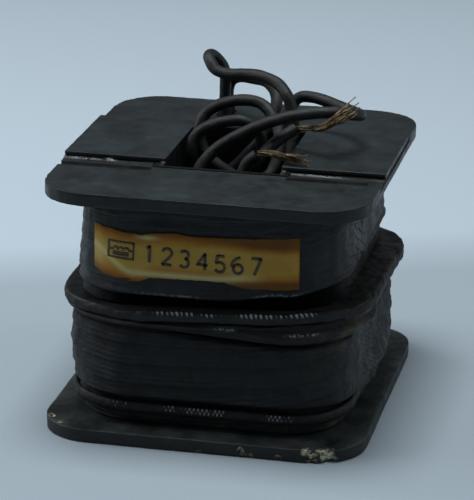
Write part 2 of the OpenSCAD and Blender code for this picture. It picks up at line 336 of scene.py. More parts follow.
def label_material():
    """Amber paper under old varnish: paler along the middle, browner at the edges, with a soft gloss."""
    r = Recipe("label_paper")
    edge = r.stored("edge")
    cloud = r.noise(5, 4, r.place(stretch=(2.6, 1, 1)))
    tone = r.plus(r.times(edge, 0.75), r.times(cloud, 0.5))
    base = r.ramp(tone, (0.28, (0.42, 0.265, 0.050)), (0.5, (0.35, 0.175, 0.022)),
                  (0.78, (0.24, 0.09, 0.010)), (1.0, (0.13, 0.052, 0.008)))
    specks = r.ramp(r.noise(0.55, 3), (0.62, 0.0), (0.74, 0.7))
    base = r.mix(specks, base, (0.20, 0.10, 0.025))
    # Painted glare: a painted reflection on the varnish, pale over the paper.
    base = r.mix(r.times(r.stored("glare"), 0.8), base, (0.56, 0.48, 0.21))
    rough = r.ramp(r.noise(2.5, 4), (0.3, 0.24), (0.7, 0.42))
    return r.finish(Base_Color=base, Roughness=rough, Specular_IOR_Level=0.12,
                    Normal=r.bump(r.noise(1.6, 4), 0.10))


def ink_material():
    """Stamped ink, thin and broken in places."""
    r = Recipe("label_ink")
    worn = r.ramp(r.noise(0.45, 3), (0.42, 0.0), (0.68, 1.0))
    base = r.mix(worn, (0.022, 0.019, 0.015), (0.12, 0.075, 0.028))
    return r.finish(Base_Color=base, Roughness=r.ramp(worn, (0.0, 0.45), (1.0, 0.6)),
                    Normal=r.bump(r.noise(0.3, 2), 0.03))


def plain_fibre_material(name, dark, pale, size):
    """Paper, fibre or wire inside the coil: a grained two-tone surface."""
    r = Recipe(name)
    grain = r.noise(size, 5, r.place(stretch=(1, 1, 0.2)))
    return r.finish(Base_Color=r.mix(grain, dark, pale), Roughness=r.ramp(grain, (0.3, 0.5), (0.7, 0.75)),
                    Specular_IOR_Level=0.15, Normal=r.bump(grain, 0.08))


def floor_material():
    """Pale blue-grey, a little lighter beyond a soft line behind the coil."""
    r = Recipe("floor")
    line, soft = 92, 16
    along = r.add("ShaderNodeSeparateXYZ", output=1, _0=r.place(turn=-21))
    past_line = r.plus(r.times(along, 1 / (2 * soft)), 0.5 - line / (2 * soft))
    far = r.ramp(past_line, (0.0, 0.0), (1.0, 1.0))
    grain = r.noise(60, 3)
    near = r.mix(r.times(grain, 0.3), (0.35, 0.42, 0.47), (0.39, 0.46, 0.51))
    beyond = r.ramp(r.math("DIVIDE", along, 900.0), (0.1, (0.50, 0.59, 0.66)), (1.0, (0.74, 0.86, 0.94)))
    return r.finish(Base_Color=r.mix(far, near, beyond), Roughness=0.75, Specular_IOR_Level=0.25)


# ---- Mesh tools: shapes are worked out in millimetres ----

def bumps(points, size, seed, detail=3):
    """Smooth noise from about -1 to 1 at each point; its largest features are about size across."""
    shift = Vector((seed * 17.3, seed * 5.1, seed * 9.7))
    return np.array([noise.fractal(Vector(p) / size + shift, 1.0, 2.0, detail) for p in points])


def surface_bumps(flat, z, size, seed, squash=(1, 1, 1)):
    """The same noise on a grid of places round a section; squash stretches it along an axis."""
    points = np.concatenate([flat, z[..., None]], -1).reshape(-1, 3)
    return bumps(points * squash, size, seed).reshape(z.shape)


def outline_bumps(outline, size, seed):
    """The same noise along a flat outline."""
    return bumps(np.column_stack([outline, 0 * outline[:, 0]]), size, seed)


def ease(low, high, value):
    """Rises smoothly from 0 at low to 1 at high, or falls where low is the larger."""
    t = np.clip((np.asarray(value, float) - low) / (high - low), 0, 1)
    return t * t * (3 - 2 * t)


def span(value, start, full, end, gone):
    """1 between full and end, and smoothly down to 0 at start and gone."""
    return ease(start, full, value) * ease(gone, end, value)


def bell(value, middle, width):
    """1 in the middle, and smoothly down to nothing within about two widths."""
    return np.exp(-((value - middle) / width) ** 2)


def spot(flat, middle, width):
    """The same round a place (x, y)."""
    return np.exp(-((np.asarray(flat)[..., :2] - middle) ** 2).sum(-1) / width ** 2)


def make_piece(name, points, faces, material, replaces=(), unwrapped=None, stored=None):
    """A mesh piece on the coil's one body, from points in millimetres."""
    mesh = bpy.data.meshes.new(name)
    mesh.from_pydata((np.asarray(points) * MM).tolist(), [], [list(face) for face in faces])
    if unwrapped is not None:
        layer = mesh.uv_layers.new(name="UVMap")
        layer.data.foreach_set("uv", np.asarray(unwrapped, np.float32).ravel())
    for key, values in (stored or {}).items():
        mesh.attributes.new(key, "FLOAT", "POINT").data.foreach_set("value", np.asarray(values, np.float32))
    mesh.polygons.foreach_set("use_smooth", [True] * len(mesh.polygons))
    mesh.materials.append(material)
    piece = bpy.data.objects.new(name, mesh)
    bpy.context.scene.collection.objects.link(piece)
    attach(piece, "root")
    if replaces:
        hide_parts(*replaces)
    return piece


def grid(rows, columns, close_rows=False, close_columns=False):
    """Quads over points stored row by row, and the row and column of every corner, counted past the seam."""
    r, c = np.meshgrid(np.arange(rows if close_rows else rows - 1),
                       np.arange(columns if close_columns else columns - 1), indexing="ij")
    corner_rows = np.stack([r, r, r + 1, r + 1], -1).reshape(-1, 4)
    corner_columns = np.stack([c, c + 1, c + 1, c], -1).reshape(-1, 4)
    faces = (corner_rows % rows) * columns + corner_columns % columns
    return faces, corner_rows, corner_columns


def rounded_outline(width, depth, radius, count):
    """Evenly spaced points round a rounded rectangle, from the rear's middle past the left side; with their
    outward directions and the whole length."""
    x, y = width / 2 - radius, depth / 2 - radius
    arc = radius * math.pi / 2
    lengths = [x, arc, 2 * y, arc, 2 * x, arc, 2 * y, arc, x]
    corners = np.array([(0, y), (-x, y), (-x, y), (-x, -y), (-x, -y), (x, -y), (x, -y), (x, y), (x, y)])
    facing = np.radians([90, 90, 180, 180, 270, 270, 360, 360, 450])
    turning = np.arange(9) % 2
    starts = np.concatenate([[0], np.cumsum(lengths)])
    s = np.linspace(0, starts[-1], count, endpoint=False)
    part = np.minimum(np.searchsorted(starts, s, side="right") - 1, 8)
    along = s - starts[part]
    angle = facing[part] + turning[part] * along / radius
    out = np.stack([np.cos(angle), np.sin(angle)], -1)
    ahead = np.stack([-np.sin(facing), np.cos(facing)], -1)[part]
    base = corners[part] + ((1 - turning[part]) * along)[:, None] * ahead
    return base + radius * out, out, starts[-1]


def smooth_route(route, steps):
    """A smooth line through given points, with equal steps between each two of them."""
    p = np.array(route, float)
    before = np.vstack([2 * p[0] - p[1], p[:-2]])
    after = np.vstack([p[2:], 2 * p[-1] - p[-2]])
    line = []
    for a, b, c, d in zip(before, p[:-1], p[1:], after):
        for t in np.arange(steps) / steps:
            line.append(0.5 * (2 * b + (c - a) * t + (2 * a - 5 * b + 4 * c - d) * t * t
                               + (3 * b - a - 3 * c + d) * t ** 3))
    return np.vstack([line, p[-1:]])


def travelled(line):
    """Distance from a line's start to each of its points."""
    return np.concatenate([[0], np.cumsum(np.linalg.norm(np.diff(line, axis=0), axis=1))])


def tube_mesh(line, radius, sides):
    """Points, faces and unwrapped corners of a closed tube; radius is one number or one for every point."""
    count = len(line)
    radius = np.broadcast_to(np.asarray(radius, float), count)
    forward = np.gradient(line, axis=0)
    forward /= np.linalg.norm(forward, axis=1)[:, None]
    angles = 2 * np.pi * np.arange(sides)[:, None] / sides
    side = np.cross(forward[0], (0.3, 0.5, 0.81))       # any direction across the start
    rings = []
    for point, ahead, r in zip(line, forward, radius):
        side = side - ahead * side.dot(ahead)
        side /= np.linalg.norm(side)
        rings.append(point + r * (np.cos(angles) * side + np.sin(angles) * np.cross(ahead, side)))
    faces, rows, columns = grid(count, sides, close_columns=True)
    along = travelled(line)
    around = np.arange(sides + 1) * 2 * np.pi * float(np.mean(radius)) / sides
    corners = np.stack([along[rows], around[columns]], -1)[:, ::-1].reshape(-1, 2).tolist()
    ends = [list(range(sides))[::-1], [(count - 1) * sides + k for k in range(sides)]]
    return (np.vstack(rings), faces[:, ::-1].tolist() + ends,
            corners + [[along[0], 0.0]] * sides + [[along[-1], 0.0]] * sides)


def dense_copy(node, voxel, softening=3):
    """Points, outward directions and quads of a CAD node, remeshed fine enough to be worked."""
    joined = bmesh.new()
    joined.from_mesh(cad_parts[node].data)
    bmesh.ops.remove_doubles(joined, verts=joined.verts, dist=1e-6)
    mesh = bpy.data.meshes.new("working")
    joined.to_mesh(mesh)
    joined.free()
    working = bpy.data.objects.new("working", mesh)
    bpy.context.scene.collection.objects.link(working)
    remesh = working.modifiers.new("remesh", "REMESH")
    remesh.mode = "VOXEL"
    remesh.voxel_size = voxel * MM
    smooth = working.modifiers.new("smooth", "SMOOTH")
    smooth.factor = 0.5
    smooth.iterations = softening
    evaluated = working.evaluated_get(bpy.context.evaluated_depsgraph_get()).to_mesh()
    points = np.empty(len(evaluated.vertices) * 3, np.float32)
    outward = np.empty(len(evaluated.vertices) * 3, np.float32)
    corners = np.empty(len(evaluated.loops), np.int32)
    evaluated.vertices.foreach_get("co", points)
    evaluated.vertices.foreach_get("normal", outward)
    evaluated.loops.foreach_get("vertex_index", corners)
    bpy.data.objects.remove(working)
    bpy.data.meshes.remove(mesh)
    return (points.reshape(-1, 3).astype(float) / MM, outward.reshape(-1, 3).astype(float),
            corners.reshape(-1, 4))


def chips(points, spots, seed):
    """How chipped each point is, from 0 to 1, for spots of (place, radius)."""
    ragged = 1 + 0.55 * bumps(points, 1.3, seed)
    amount = np.zeros(len(points))
    for place, radius in spots:
        away = np.linalg.norm(points - np.array(place), axis=1) * ragged
        amount = np.maximum(amount, ease(radius, radius * 0.55, away))
    return amount


def kept_inside(points, node):
    """Points brought back into the node's CAD box where they left it, except over its top."""
    low, high = box(node)
    points = np.maximum(points, low)
    points[:, :2] = np.minimum(points[:, :2], high[:2])
    return points


# ---- Leads ----

def raised(route):
    """A route whose heights are counted from the top board's upper face."""
    return [(x, y, z + TOP_FACE) for x, y, z in route]


LEAD_1_ROUTE = raised([
    (-9, 28, -6.5), (-9, 28, 1.5), (-9, 28, 5.5), (-9, 28, 9.5), (-10, 27.5, 12.5),
    (-11.5, 26, 14.5), (-12, 24, 15), (-11.5, 22, 14.5), (-9.5, 20.5, 12.5), (-6, 19.5, 12),
    (-1, 18.5, 12.5), (2.5, 17, 12.5), (6, 15.5, 11.5), (8.5, 13.5, 9.5), (10, 12.5, 6),
    (10.5, 11.5, 1.5), (10, 9, -4), (6.5, 7, -7.5), (1, 6.5, -9), (-5, 7.5, -7),
    (-9.5, 9, -3.5), (-11, 9.5, 1), (-9.5, 11, 5), (-6, 12, 7), (-1.5, 12.5, 8),
    (3, 12, 7.5), (6.5, 10, 4.5), (8.5, 6.5, 0), (8, 2.5, -4.5), (6, -2, -6.5),
    (4.5, -5.5, -4.5), (5.5, -6.5, -1), (8, -4.5, 2), (10.5, -2, 4), (13, 0.5, 5.5)])
LEAD_2_ROUTE = raised([
    (-9, 31.5, -6.5), (-9, 31.5, 1.5), (-9, 31.5, 5), (-8, 31, 7.5), (-5.5, 29, 9),
    (-2, 26.5, 9.5), (2, 23.5, 9.5), (4.5, 21, 7.5), (5, 18, 4.5), (4, 14.5, 0.5),
    (0.5, 13.5, -4), (-4, 12.5, -8.5), (-8.5, 9, -10.5), (-11, 4.5, -7.5), (-11, 2.5, -3),
    (-10.5, 3, 1), (-8, 3.5, 3.5), (-4, 4, 5), (0.5, 4, 5.5), (4, 5, 3),
    (4.5, 5.5, -1), (5, 7.5, -4.5), (5.5, 10.5, -5.5), (6.5, 13.5, -3.5), (7.5, 14.5, 0.5),
    (8.5, 16.5, 5), (10.5, 17.5, 8), (14, 17, 8.5), (18.5, 15, 8), (23, 12, 7.5),
    (26.5, 7, 8), (26, 1.5, 9.5), (21, -2, 10.5), (15.5, -3, 10), (9.5, -4, 8.5),
    (4.5, -5, 6.5), (0, -5.5, 4), (-4, -6, 1), (-7, -8, -3), (-7.5, -10.5, -7.5),
    (-4, -12, -10.5), (0.5, -12, -8.5), (3, -11.5, -4), (4.5, -11, 0), (7, -11, 2.5)])
STRANDS_1_ROUTE = raised([(13, 0.5, 5.5), (16, -1, 6.3), (19.5, -4.5, 7.3), (23.5, -4.5, 9.5), (27, -1, 11)])
STRANDS_2_ROUTE = raised([(7, -11, 2.5), (10, -11.5, 3), (14, -12, 2.3), (19.5, -12, 2.1)])


def strand_bundle(name, node, route, seed, spread, material):
    """Fine wires that leave a lead together and splay towards their ends."""
    rng = random.Random(seed)
    noise.seed_set(seed)
    line = smooth_route(route, 14)
    t = np.linspace(0, 1, len(line))
    points, faces, corners = [], [], []
    wire_count, wire_r, bundle_r = 34, 0.12, 0.62
    for k in range(wire_count):
        start = rng.uniform(0, 2 * math.pi)
        reach = math.sqrt(rng.uniform(0.02, 1)) * bundle_r
        lean = np.array([rng.uniform(-0.4, 0.6), rng.uniform(-1, 1), rng.uniform(-0.5, 1)]) * spread
        twist = start + t * rng.uniform(2.0, 3.4)
        ring = np.stack([0 * t, np.cos(twist), np.sin(twist)], 1) * (reach * (1 + 0.35 * t))[:, None]
        curl = np.array([noise.noise_vector(Vector((k * 3.7, v * 5.0, seed))) for v in t])
        end = rng.uniform(0.72, 1.0)
        wire = line + ring + lean * (t ** 3)[:, None] + curl * (0.55 * t ** 1.5)[:, None]
        wire = wire[: max(6, int(len(wire) * end))]
        p, f, c = tube_mesh(wire, wire_r, 5)
        faces += [[i + sum(map(len, points)) for i in face] for face in f]
        points.append(p)
        corners += c
    return make_piece(name, np.vstack(points), faces, material, (node,), corners)


def add_lead(number, route, strands_route, seed, spread, insulation, copper):
    """An insulated lead, a little swollen where it was cut, and the bare wires that leave its end."""
    line = smooth_route(route, CURVE_STEPS)
    rough = 1.04 + 0.06 * bumps(line, 3.5, seed) + 0.03 * bumps(line, 1.3, seed + 20)
    rough[-4:] *= (1.03, 1.06, 1.03, 0.92)
    points, faces, corners = tube_mesh(line, LEAD_D / 2 * rough, 16)
    name = f"lead_{number}"
    # Painted shade on the lead where it runs down into the window, below the top board's face.
    deep = 0.8 * ease(TOP_FACE + 3.5, TOP_FACE - 2, points[:, 2])
    lead = make_piece(f"{name}_insulated", points, faces, insulation, (name,), corners,
                      {"painted_shade": deep})
    strands = strand_bundle(f"{name}_copper", f"{name}_strands", strands_route, seed, spread, copper)


# ---- Boards ----

def add_plain_board(name, node, material, spots, seed, varnish=None):
    """A fibre board with softened, uneven edges; spots are where its rim is chipped."""
    points, outward, faces = dense_copy(node, 0.3, 2)
    chipped = chips(points, spots, seed)
    facing_up = np.abs(outward[:, 2])
    rim = ease(0.35, 0.85, 1 - facing_up) * ease(0.2, 0.9, facing_up + 0.25)
    swell = 0.10 * bumps(points, 14, seed) + 0.05 * bumps(points, 2.2, seed + 1)
    sides = np.abs(points[:, :2])
    reach = (sides - points[:, :2].max(axis=0)).max(axis=1)
    corner_from = 46        # distance from the middle beyond which only the round corners lie
    round_corner = np.linalg.norm(sides, axis=1) > corner_from
    at_edge = np.where(round_corner, 1, ease(-1.5, -0.5, reach))
    wear_and_highlight = np.clip(at_edge * rim * (0.75 + 0.9 * bumps(points, 5, seed + 2)), 0, 1)
    shrink, bite_down, bite_in = 0.18, 0.5, 0.6
    moved = points + outward * (swell - shrink - bite_down * chipped)[:, None]
    inward = -moved * (1, 1, 0) / np.linalg.norm(moved[:, :2], axis=1)[:, None]
    moved += inward * (bite_in * chipped)[:, None]
    pale = chipped * ease(-0.35, 0.1, bumps(points, 0.9, seed + 3))
    bead = varnish(points) if varnish else np.zeros(len(points))
    # Painted shade in the top board's grooves and beside the right liner.
    painted_shade = groove_painted_shade(points) if varnish else np.zeros(len(points))
    moved[:, 2] += 0.5 * bead
    shiny = np.clip(2 * bead, 0, 1)
    make_piece(name, kept_inside(moved, node), faces, material, (node,),
               stored={"wear_and_highlight": wear_and_highlight, "chip": pale, "varnish": shiny, "painted_shade": painted_shade * (1 - shiny)})


def groove_varnish(points):
    """Varnish that has run along the foot of the folded liners' front edge, and one drip that bridges it."""
    x, y, z = points.T
    swell = 0.75 + 0.5 * bumps(points * (1, 0, 0), 7, 71)
    line = np.where(x > 0, -15.9, -15.3)
    bead = 1.1 * bell(y, line, 0.42) * swell
    drip = 0.9 * bell(x, -25.5, 1.3) * bell(y, -15, 0.8)
    beside_window = ease(WINDOW_HALF_W + 1, WINDOW_HALF_W + 2, np.abs(x))
    return (bead + drip) * beside_window * ease(TOP_FACE - 0.4, TOP_FACE - 0.1, z)


def groove_painted_shade(points):
    """Painted shade in the grooves, and over the whole strip between the right liner's fold and its groove;
    also a darker patch in front of the window.
    """
    x, y, z = points.T
    front, back = -20.6, -18.0
    deep = ease(TOP_FACE - 0.08, TOP_FACE - 0.3, z) * (np.abs(y) < 21)
    strip = span(y, front - 0.5, front, -14.3, -13.8) * span(x, 14, 15, 34.5, 35.5)
    left = span(y, front - 0.5, front, back, back + 0.5) * ease(-14, -15, x)
    # A darker patch on the front strip, in front of the window.
    darker_patch = 0.45 * bell(x, 6, 10) * bell(y, -23, 3) * ease(-0.4, 0.5, bumps(points, 3, 72))
    return np.clip(np.maximum(np.maximum(left, strip), deep) + darker_patch, 0, 1) * (z > TOP_FACE - 1.5)


def add_side_liner(side, material):
    """The fibre strip down one side of the window, folded out over the top board."""
    node = f"side_liner_{side}"
    points, outward, faces = dense_copy(node, 0.25, 1)
    swell = 0.07 * bumps(points, 7, 4) + 0.03 * bumps(points, 1.6, 5)
    wear_and_highlight = ease(0.4, 0.8, 1 - np.abs(outward[:, 2])) * ease(BAND_TOP - 1, BAND_TOP, points[:, 2])
    moved = kept_inside(points + outward * swell[:, None], node)
    make_piece(f"{node}_strip", moved, faces, material, (node,), stored={"wear_and_highlight": 0.6 * wear_and_highlight})


def middle_warp(points):
    """The middle board twists: its front right and rear left corners stand higher."""
    return -0.9 * points[:, 0] * points[:, 1] / 1000


def corner_swell(points):
    """The middle board's corners, swollen and pushed outward."""
    x, y = points[:, 0], points[:, 1]
    most = np.where((x > 0) & (y < 0), 1.7, 1.1)
    amount = most * spot(np.abs(points[:, :2]), (30, 26), 8.37)
    return np.stack([0.8 * np.sign(x) * amount, 0.6 * np.sign(y) * amount, 0 * x], -1)


def add_middle_board(material):
    """The board between the two sections, more ragged on the right, where its edge is chipped."""
    points, outward, faces = dense_copy("middle_flange", 0.38)
    x, y, _ = points.T
    ragged = np.where(x > 20, 0.28, 0.12) * bumps(points, 3, 21)
    chipped = chips(points, [((36, 14, 31), 2.2), ((35.5, 23, 31), 1.6), ((34, -20, 31), 1.2)], 22)
    moved = points + outward * (ragged - 0.8 * chipped)[:, None] + corner_swell(points)
    moved[:, 2] += middle_warp(points)
    wear_and_highlight = np.clip(ease(0.4, 0.9, 1 - np.abs(outward[:, 2])) * (0.6 + bumps(points, 4, 23)), 0, 1)
    # The stored mask paints shadow on the board's front, where the top board and the upper tape overhang it.
    make_piece("middle_flange_board", moved, faces, material, ("middle_flange",),
               stored={"wear_and_highlight": wear_and_highlight, "chip": 0.5 * chipped,
                       "painted_shade": ease(-27, -15, x) * ease(-24, -33, y)})


def cord_grid(outline, length, sides):
    """Angle round a cord and length along it, for every point of a cord that lies round an outline."""
    along = np.arange(len(outline)) * length / len(outline)
    return np.meshgrid(2 * np.pi * np.arange(sides) / sides, along)


def hoop(outline, out, across, up):
    """Points and quads of a closed cord round an outline, from how far outward and how high each of its
    points stands."""
    level = outline[:, None] + out[:, None] * across[..., None]
    points = np.concatenate([level, up[..., None]], -1).reshape(-1, 3)
    return points, grid(*across.shape, close_rows=True, close_columns=True)[0][:, ::-1]


def add_middle_binding(material):
    """The binding round the middle board's edge; its slanted stitches show only along the front."""
    outline, out, length = rounded_outline(MIDDLE_SIZE.x, MIDDLE_SIZE.y, MIDDLE_R, 1500)
    angle, along = cord_grid(outline, length, 20)
    x, y = outline.T
    stitched = span(x, -12, -9, 2, 5) + span(x, 6, 10, 22, 28)
    uneven = 0.75 + 0.5 * outline_bumps(outline, 5, 25) + 0.6 * outline_bumps(outline, 1.1, 27)
    seen = stitched * (y < 0) * np.clip(uneven, 0, 1)
    at_top = np.clip(np.cos(angle - 1.0), 0, 1) ** 3
    stitches = 1.35 * seen[:, None] * at_top * np.abs(np.sin(angle + along * 2.9)) ** 1.5

    rolled = 0.84 + 0.2 * outline_bumps(outline, 7, 24)[:, None]
    squared = (np.abs(np.cos(angle)) ** 4 + np.abs(np.sin(angle)) ** 4) ** -0.25
    around = np.stack([np.cos(angle) * 2, along * 0.6, np.sin(angle) * 2], -1).reshape(-1, 3)
    lumps = 0.16 * bumps(around, 1.6, 26).reshape(angle.shape) + 0.05 * np.sin(7 * np.sin(angle))
    thick = MIDDLE_SIZE.z - math.sin(math.radians(1)) * MIDDLE_SIZE.x
    half_w, half_h, drawn_in = 0.62, 0.45 * thick, 0.8
    across = np.cos(angle) * (squared * (half_w * rolled + lumps) + 0.2 * stitches) - drawn_in
    up = np.sin(angle) * (squared * (half_h * rolled + lumps) + 0.2 * stitches)

    centre = (BINDING_LOW + BINDING_HIGH) / 2
    up = up + (centre.z + MIDDLE_TILT * x)[:, None]
    points, faces = hoop(outline + centre.xy, out, across, up)
    points += corner_swell(points)
    points[:, 2] += middle_warp(points)
    # The stitches' upper sides are stored to be painted pale: painted highlights.
    make_piece("middle_edge_braid", points, faces, material, ("middle_edge_binding",),
               stored={"wear_and_highlight": stitches.ravel()})


# ---- Tape, cord and label ----

def turns(lap, z, pitch, climb, wobble, depth, sharp=0.07):
    """Height of overlapping tape turns: each stands proud at its lower edge and sinks under the next. The
    tape climbs a whole number of turns in a lap, so the pattern closes."""
    phase = (z - wobble) / pitch - climb * lap
    part = phase - np.floor(phase)
    return depth * ease(0, sharp, part) * (1 - part)


def add_wrap(name, node, outlines, blend, low, high, rows, relief, marks, material, inner):
    """A taped section: a closed ring whose outer face follows one outline that changes to another with
    height, with relief added; low and high give its edges at each place round it, and marks the painted
    shade, painted sheen, painted highlights and stains on it."""
    first, out, length = outlines[0]
    count = len(first)
    lows, highs = low(first), high(first)
    t = np.linspace(0, 1, rows)[:, None]
    z = lows[None, :] * (1 - t) + highs[None, :] * t
    flat = sum(amount[..., None] * outline[0][None] for amount, outline in zip(blend(first, z), outlines))
    lap = np.broadcast_to(np.arange(count) / count, z.shape)
    rise = relief(lap, z, flat)
    edge_round, cover = 0.5, 0.15       # rounding of the tape's edges, and the least tape left over the paper
    to_edge = np.clip(1 - np.minimum(z - lows, highs - z) / edge_round, 0, 1)
    rise = rise - edge_round * (1 - np.sqrt(1 - to_edge ** 2))
    rise = np.maximum(rise, cover - TAPE_T)
    outer = np.concatenate([flat + rise[..., None] * out[None], z[..., None]], -1)
    back = np.concatenate([inner[0], highs[:, None]], -1)
    front = np.concatenate([inner[0], lows[:, None]], -1)
    points = np.concatenate([outer, back[None], front[None]]).reshape(-1, 3)

    faces, rows_of, columns_of = grid(rows + 2, count, close_rows=True, close_columns=True)
    inside = (60, 90, 120)      # unwrapped heights of the ring's inner face, clear of the outer face's
    heights = np.append(np.linspace(float(lows.mean()), float(highs.mean()), rows), inside)
    corners = np.stack([columns_of * length / count, heights[rows_of]], -1).reshape(-1, 2)

    step = np.gradient(rise, axis=0) > 0.07
    patchy = bumps(outer.reshape(-1, 3), 3, 9).reshape(rise.shape) > -0.1
    stored = {"wear_and_highlight": 0.55 * step * patchy}
    for mark, amount in marks.items():
        stored[mark] = amount(flat, z)
    inner_face = np.zeros(2 * count)
    stored = {mark: np.append(values.ravel(), inner_face) for mark, values in stored.items()}
    make_piece(name, points, faces, material, (node,), corners, stored)


def hem_height(flat):
    """Height of the upper tape's lower hem, which climbs round the front right corner."""
    x = flat[..., 0]
    return 33.6 + 2 * ease(4, 18, x) + 1.8 * ease(18, 30, x)


def upper_relief(lap, z, flat):
    x, y = flat[..., 0], flat[..., 1]
    wobble = 0.9 * surface_bumps(flat, z, 22, 31, (1, 1, 0)) + 5 * spot(flat, (30, -26), 16.12)
    ripple = 0.22 * surface_bumps(flat, z, 5, 32, (1, 1, 0.35)) + 0.10 * surface_bumps(flat, z, 1.8, 33)
    shape = turns(lap, z, 7.2, 0, wobble, 0.5) + turns(lap, z, 2.4, -1, 2 * wobble, 0.18) + ripple
    shape = shape - 0.6 * ease(-25, -29, x) * ease(41, 45, z)
    hem = hem_height(flat) + 0.6 * ripple
    shape = shape + 0.3 * bell(z, hem + 0.4, 0.45) - 0.9 * ease(hem, hem - 0.9, z)
    under_label = span(z, 36, 37.5, 47.5, 49) * span(x, -26, -24, 21, 24) * (y < 0)
    return shape * (1 - 0.8 * under_label) - 0.1


# Painted shade in the recess under the upper tape's hem, strongest along the front.
def upper_painted_shade(flat, z):
    hem = hem_height(flat)
    front = ease(-27, -16, flat[..., 0]) * ease(-20, -33, flat[..., 1])
    return ease(hem, hem - 0.6, z) * (0.3 + 0.7 * front)


# Painted highlight: a broken bright line along the hem, at the front.
def upper_glint(flat, z):
    x = flat[..., 0]
    along = span(x, -16, -12, -2, 4) + span(x, 10, 14, 18, 24)
    return 0.8 * along * (flat[..., 1] < 0) * bell(z, hem_height(flat) + 0.1, 0.25)


# Painted sheen: the upper tape's left strip is lightened where it faces the left light.
def upper_painted_sheen(flat, z):
    uneven = np.clip(0.75 + 0.6 * surface_bumps(flat, z, 6, 34, (1, 1, 1.6)), 0, 1)
    return uneven * ease(-27, -29.5, flat[..., 0]) * ease(5, -18, flat[..., 1])


def add_upper_tape(material):
    count, rows = 760, 110
    outer = rounded_outline(UPPER_SIZE.x, UPPER_SIZE.y, UPPER_R, count)
    inner = rounded_outline(UPPER_SIZE.x - 2 * TAPE_T, UPPER_SIZE.y - 2 * TAPE_T, UPPER_R - TAPE_T, count)
    foot = MIDDLE_HIGH.z - 0.1
    add_wrap("upper_tape_wrap", "upper_tape", [outer],
             lambda outline, z: [np.ones(z.shape)],
             lambda outline: foot + MIDDLE_TILT * (outline[:, 0] - 30) + 0.6 * middle_warp(outline),
             lambda outline: np.full(len(outline), TOP_UNDER - EDGE_GAP),
             rows, upper_relief, {"painted_shade": upper_painted_shade, "glint": upper_glint, "rub": upper_painted_sheen},
             material, inner)


def collar_edge(flat):
    """Height of the collar's lower edge: lowest at the front right, and gone towards the rear right."""
    droop = 1.9 * spot(flat, (22, -34), 26.46)
    rear = ease(0, 28, flat[..., 1]) * ease(5, 25, flat[..., 0])
    return 26.5 - droop + 2.6 * rear


def collar_front(flat):
    """1 along the front, where the crease under the collar is deepest."""
    return span(flat[..., 0], -14, -4, 22, 34) * (flat[..., 1] < 0)


def lower_relief(lap, z, flat):
    x, y = flat[..., 0], flat[..., 1]
    pull = spot(flat, (31, -24), 17.32)
    wobble = 1.1 * surface_bumps(flat, z, 26, 41, (1, 1, 0)) + 4 * pull
    ripple = 0.26 * surface_bumps(flat, z, 6, 42, (1, 1, 0.5)) + 0.11 * surface_bumps(flat, z, 1.5, 43)
    belly = 0.5 * np.sin(np.pi * np.clip((z - 7) / 18, 0, 1))
    edge, front = collar_edge(flat), collar_front(flat)
    up_collar = np.clip((z - edge) / np.maximum(COLLAR_TOP - edge, 0.5), 0, 1)
    roll = (0.75 + 0.14 * np.sin(2 * np.pi * (z + wobble) / 1.5)) * np.sin(np.pi * up_collar) ** 0.5
    crease = -(0.5 + 0.9 * front) * bell(z, edge - 0.3, 0.35 + 0.3 * front)
    narrow = -0.7 * ease(-24, -30, x) * ease(20, 11, z)
    sag = 2.4 * ease(24, 31, x) * bell(y, 2, 17) * span(z, 3, 5, 9, 19)
    calm = 1 - 0.85 * pull
    return (turns(lap, z, 4.6, 0, wobble, 0.5) + calm * turns(lap, z, 1.15, -1, 2 * wobble, 0.22)
            + ripple + belly + roll + crease + narrow + sag - 0.6)


# Painted shade in the crease under the collar, strongest along the front.
def lower_painted_shade(flat, z):
    return (0.3 + 0.7 * collar_front(flat)) * bell(z, collar_edge(flat) - 0.4, 0.6)


def lower_stain(flat, z):
    """Olive stains at the foot, mostly on the right, and on the collar's front right corner."""
    foot = ease(8, 4.5, z) * (0.35 + 0.65 * ease(12, 28, flat[..., 0]))
    corner = spot(flat, (30, -26), 7.75) * bell(z, 26, 3.87)
    return 0.75 * ease(0.0, 0.35, surface_bumps(flat, z, 4, 44)) * np.maximum(foot, corner)


# Painted highlights: two short bright lines on the collar's roll, at the front.
def lower_glint(flat, z):
    x = flat[..., 0]
    left = span(x, 3, 4.5, 7.5, 8.5) * bell(z, 27.7, 0.22)
    right = span(x, 18, 20, 24.5, 26) * bell(z, 27.2, 0.25)
    return (left + right) * (flat[..., 1] < 0)


def add_lower_tape(material):
    count, rows = 820, 130
    belly = rounded_outline(*BELLY_SIZE, BELLY_R, count)
    foot = rounded_outline(BELLY_SIZE[0] - 4, BELLY_SIZE[1] - 4, FOOT_R, count)
    collar = rounded_outline(COLLAR_SIZE.x, COLLAR_SIZE.y, COLLAR_R, count)
    inner = rounded_outline(LOWER_FOOT.x, LOWER_FOOT.y, FOOT_R - TAPE_T, count)

    def blend(outline, z):
        to_foot = ease(FOOT_TOP + 1.3, FOOT_TOP - 0.6, z)
        edge = collar_edge(outline)[None]
        to_collar = ease(edge - 0.5, edge + 1.0, z)
        return [1 - to_foot - to_collar, to_foot, to_collar]

    add_wrap("lower_tape_wrap", "lower_tape", [belly, foot, collar], blend,
             lambda outline: np.full(len(outline), BOARD_T + EDGE_GAP),
             lambda outline: COLLAR_TOP + MIDDLE_TILT * (outline[:, 0] + 34) + 0.6 * middle_warp(outline),
             rows, lower_relief, {"painted_shade": lower_painted_shade, "glint": lower_glint, "stain": lower_stain},
             material, inner)


